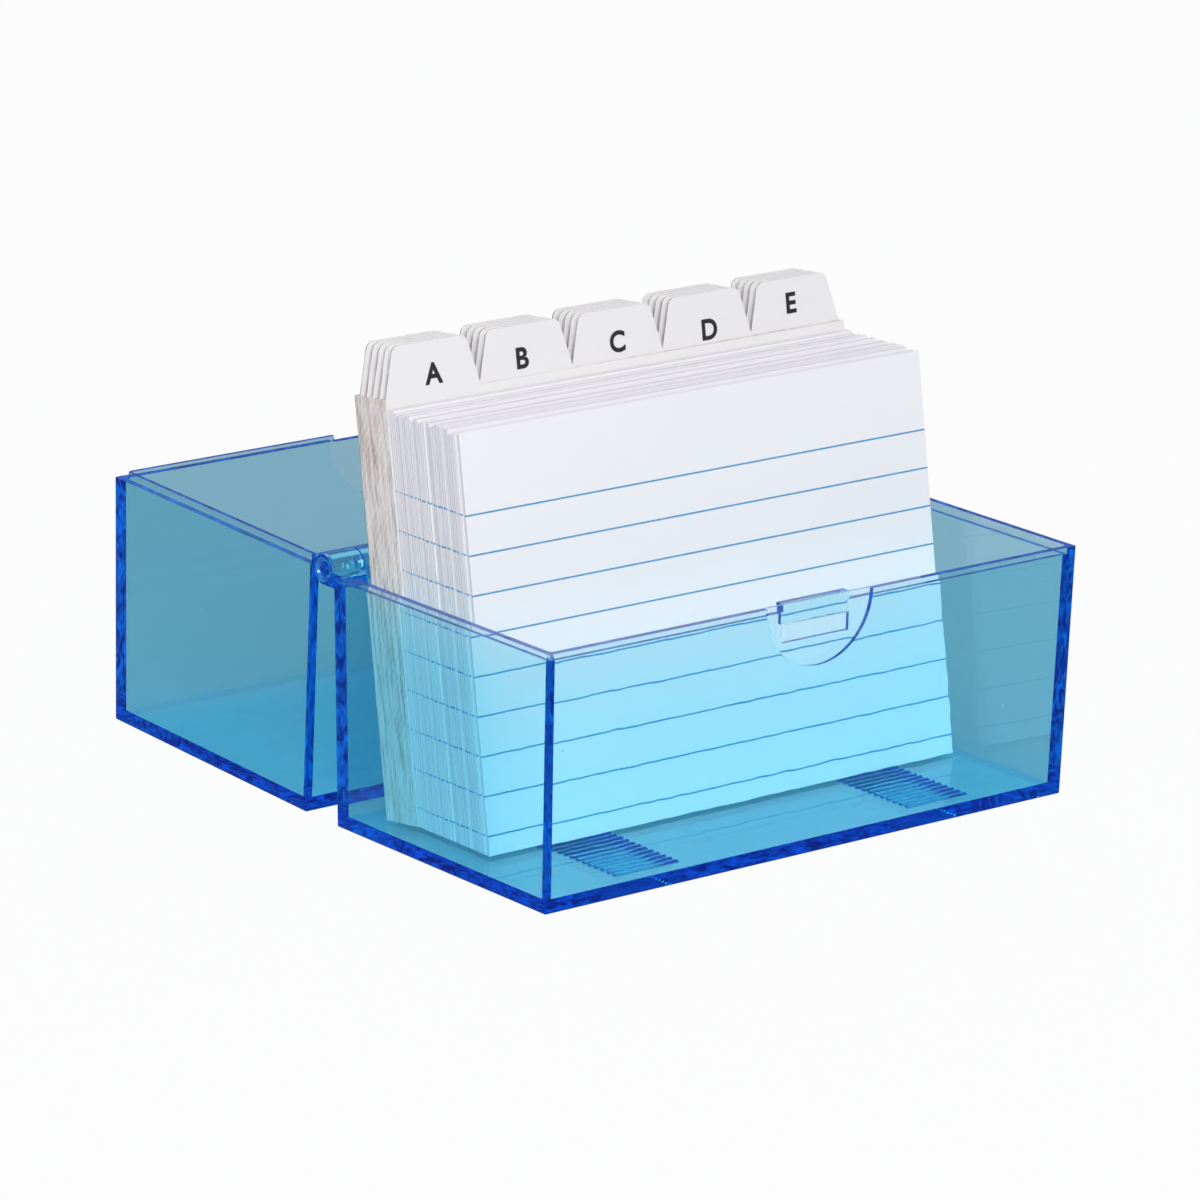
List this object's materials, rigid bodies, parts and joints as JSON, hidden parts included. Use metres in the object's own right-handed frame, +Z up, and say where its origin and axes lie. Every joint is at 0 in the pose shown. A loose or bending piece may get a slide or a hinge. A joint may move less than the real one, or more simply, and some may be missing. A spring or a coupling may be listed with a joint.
{
  "type": "index card box",
  "caption": "Clear two-shell card file box that hinges open along its rim, with lettered index guides and ruled cards leaning in the tray.",
  "frame": {"origin": "centre of the tray's underside, on the surface that it stands on", "axes": "+Z up, +X to the right along the hinge, +Y from the tray's front towards the hinge"},
  "size_m": [0.12, 0.1288, 0.0861],
  "materials": {
    "clear_blue_tray": "clear, glossy, sky blue",
    "clear_blue_lid": "clear, glossy, sky blue",
    "hinge_pin": "clear, glossy, deeper blue",
    "index_card": "matt white board",
    "ruled_card": "matt, ruled in blue"
  },
  "bodies": {
    "base": {"base_tray": "clear_blue_tray", "hinge_pin": "hinge_pin"},
    "lid": {"lid": "clear_blue_lid"},
    "guides_a_to_e": {"guide_a": "index_card", "guide_b": "index_card", "guide_c": "index_card", "guide_d": "index_card", "guide_e": "index_card"},
    "guides_f_to_j": {"guide_f": "index_card", "guide_g": "index_card", "guide_h": "index_card", "guide_i": "index_card", "guide_j": "index_card"},
    "guides_k_to_o": {"guide_k": "index_card", "guide_l": "index_card", "guide_m": "index_card", "guide_n": "index_card", "guide_o": "index_card"},
    "guides_p_to_t": {"guide_p": "index_card", "guide_q": "index_card", "guide_r": "index_card", "guide_s": "index_card", "guide_t": "index_card"},
    "guides_u_to_y": {"guide_u": "index_card", "guide_v": "index_card", "guide_w": "index_card", "guide_x": "index_card", "guide_y": "index_card"},
    "cards_rear": {"ruled_cards_rear": "ruled_card"},
    "cards_middle": {"ruled_cards_middle": "ruled_card"},
    "cards_near": {"ruled_cards_near": "ruled_card"},
    "cards_front": {"ruled_cards_front": "ruled_card"},
    "loose_card": {"front_card": "ruled_card"}
  },
  "joints": [
    {"name": "lid_hinge", "type": "hinge", "parent": "base", "child": "lid", "pos_m": [0, 0.03345, 0.0465], "axis": [1, 0, 0], "range_deg": [0, 177.75]},
    {"name": "guides_a_to_e_lean", "type": "hinge", "parent": "base", "child": "guides_a_to_e", "pos_m": [0, 0.01477, 0.0027], "axis": [1, 0, 0], "range_deg": [0, 9.51]},
    {"name": "guides_f_to_j_lean", "type": "hinge", "parent": "base", "child": "guides_f_to_j", "pos_m": [0, 0.01604, 0.0027], "axis": [1, 0, 0], "range_deg": [0, 9.51]},
    {"name": "guides_k_to_o_lean", "type": "hinge", "parent": "base", "child": "guides_k_to_o", "pos_m": [0, 0.0173, 0.0027], "axis": [1, 0, 0], "range_deg": [0, 9.51]},
    {"name": "guides_p_to_t_lean", "type": "hinge", "parent": "base", "child": "guides_p_to_t", "pos_m": [0, 0.01857, 0.0027], "axis": [1, 0, 0], "range_deg": [0, 9.51]},
    {"name": "guides_u_to_y_lean", "type": "hinge", "parent": "base", "child": "guides_u_to_y", "pos_m": [0, 0.01984, 0.0027], "axis": [1, 0, 0], "range_deg": [0, 9.51]},
    {"name": "cards_rear_lean", "type": "hinge", "parent": "base", "child": "cards_rear", "pos_m": [0, 0.0097, 0.0027], "axis": [1, 0, 0], "range_deg": [0, 9.51]},
    {"name": "cards_middle_lean", "type": "hinge", "parent": "base", "child": "cards_middle", "pos_m": [0, 0.00463, 0.0027], "axis": [1, 0, 0], "range_deg": [0, 9.51]},
    {"name": "cards_near_lean", "type": "hinge", "parent": "base", "child": "cards_near", "pos_m": [0, -0.00044, 0.0027], "axis": [1, 0, 0], "range_deg": [0, 9.51]},
    {"name": "cards_front_lean", "type": "hinge", "parent": "base", "child": "cards_front", "pos_m": [0, -0.00551, 0.0027], "axis": [1, 0, 0], "range_deg": [0, 9.51]},
    {"name": "front_card_flip", "type": "hinge", "parent": "cards_front", "child": "loose_card", "pos_m": [0, -0.00551, 0.0027], "axis": [1, 0, 0], "range_deg": [0, 11]}
  ],
  "couplings": [
    {"joint": "guides_a_to_e_lean", "follows": "lid_hinge", "ratio": 0.053446},
    {"joint": "guides_f_to_j_lean", "follows": "lid_hinge", "ratio": 0.053446},
    {"joint": "guides_k_to_o_lean", "follows": "lid_hinge", "ratio": 0.053446},
    {"joint": "guides_p_to_t_lean", "follows": "lid_hinge", "ratio": 0.053446},
    {"joint": "guides_u_to_y_lean", "follows": "lid_hinge", "ratio": 0.053446},
    {"joint": "cards_rear_lean", "follows": "lid_hinge", "ratio": 0.053446},
    {"joint": "cards_middle_lean", "follows": "lid_hinge", "ratio": 0.053446},
    {"joint": "cards_near_lean", "follows": "lid_hinge", "ratio": 0.053446},
    {"joint": "cards_front_lean", "follows": "lid_hinge", "ratio": 0.053446}
  ]
}
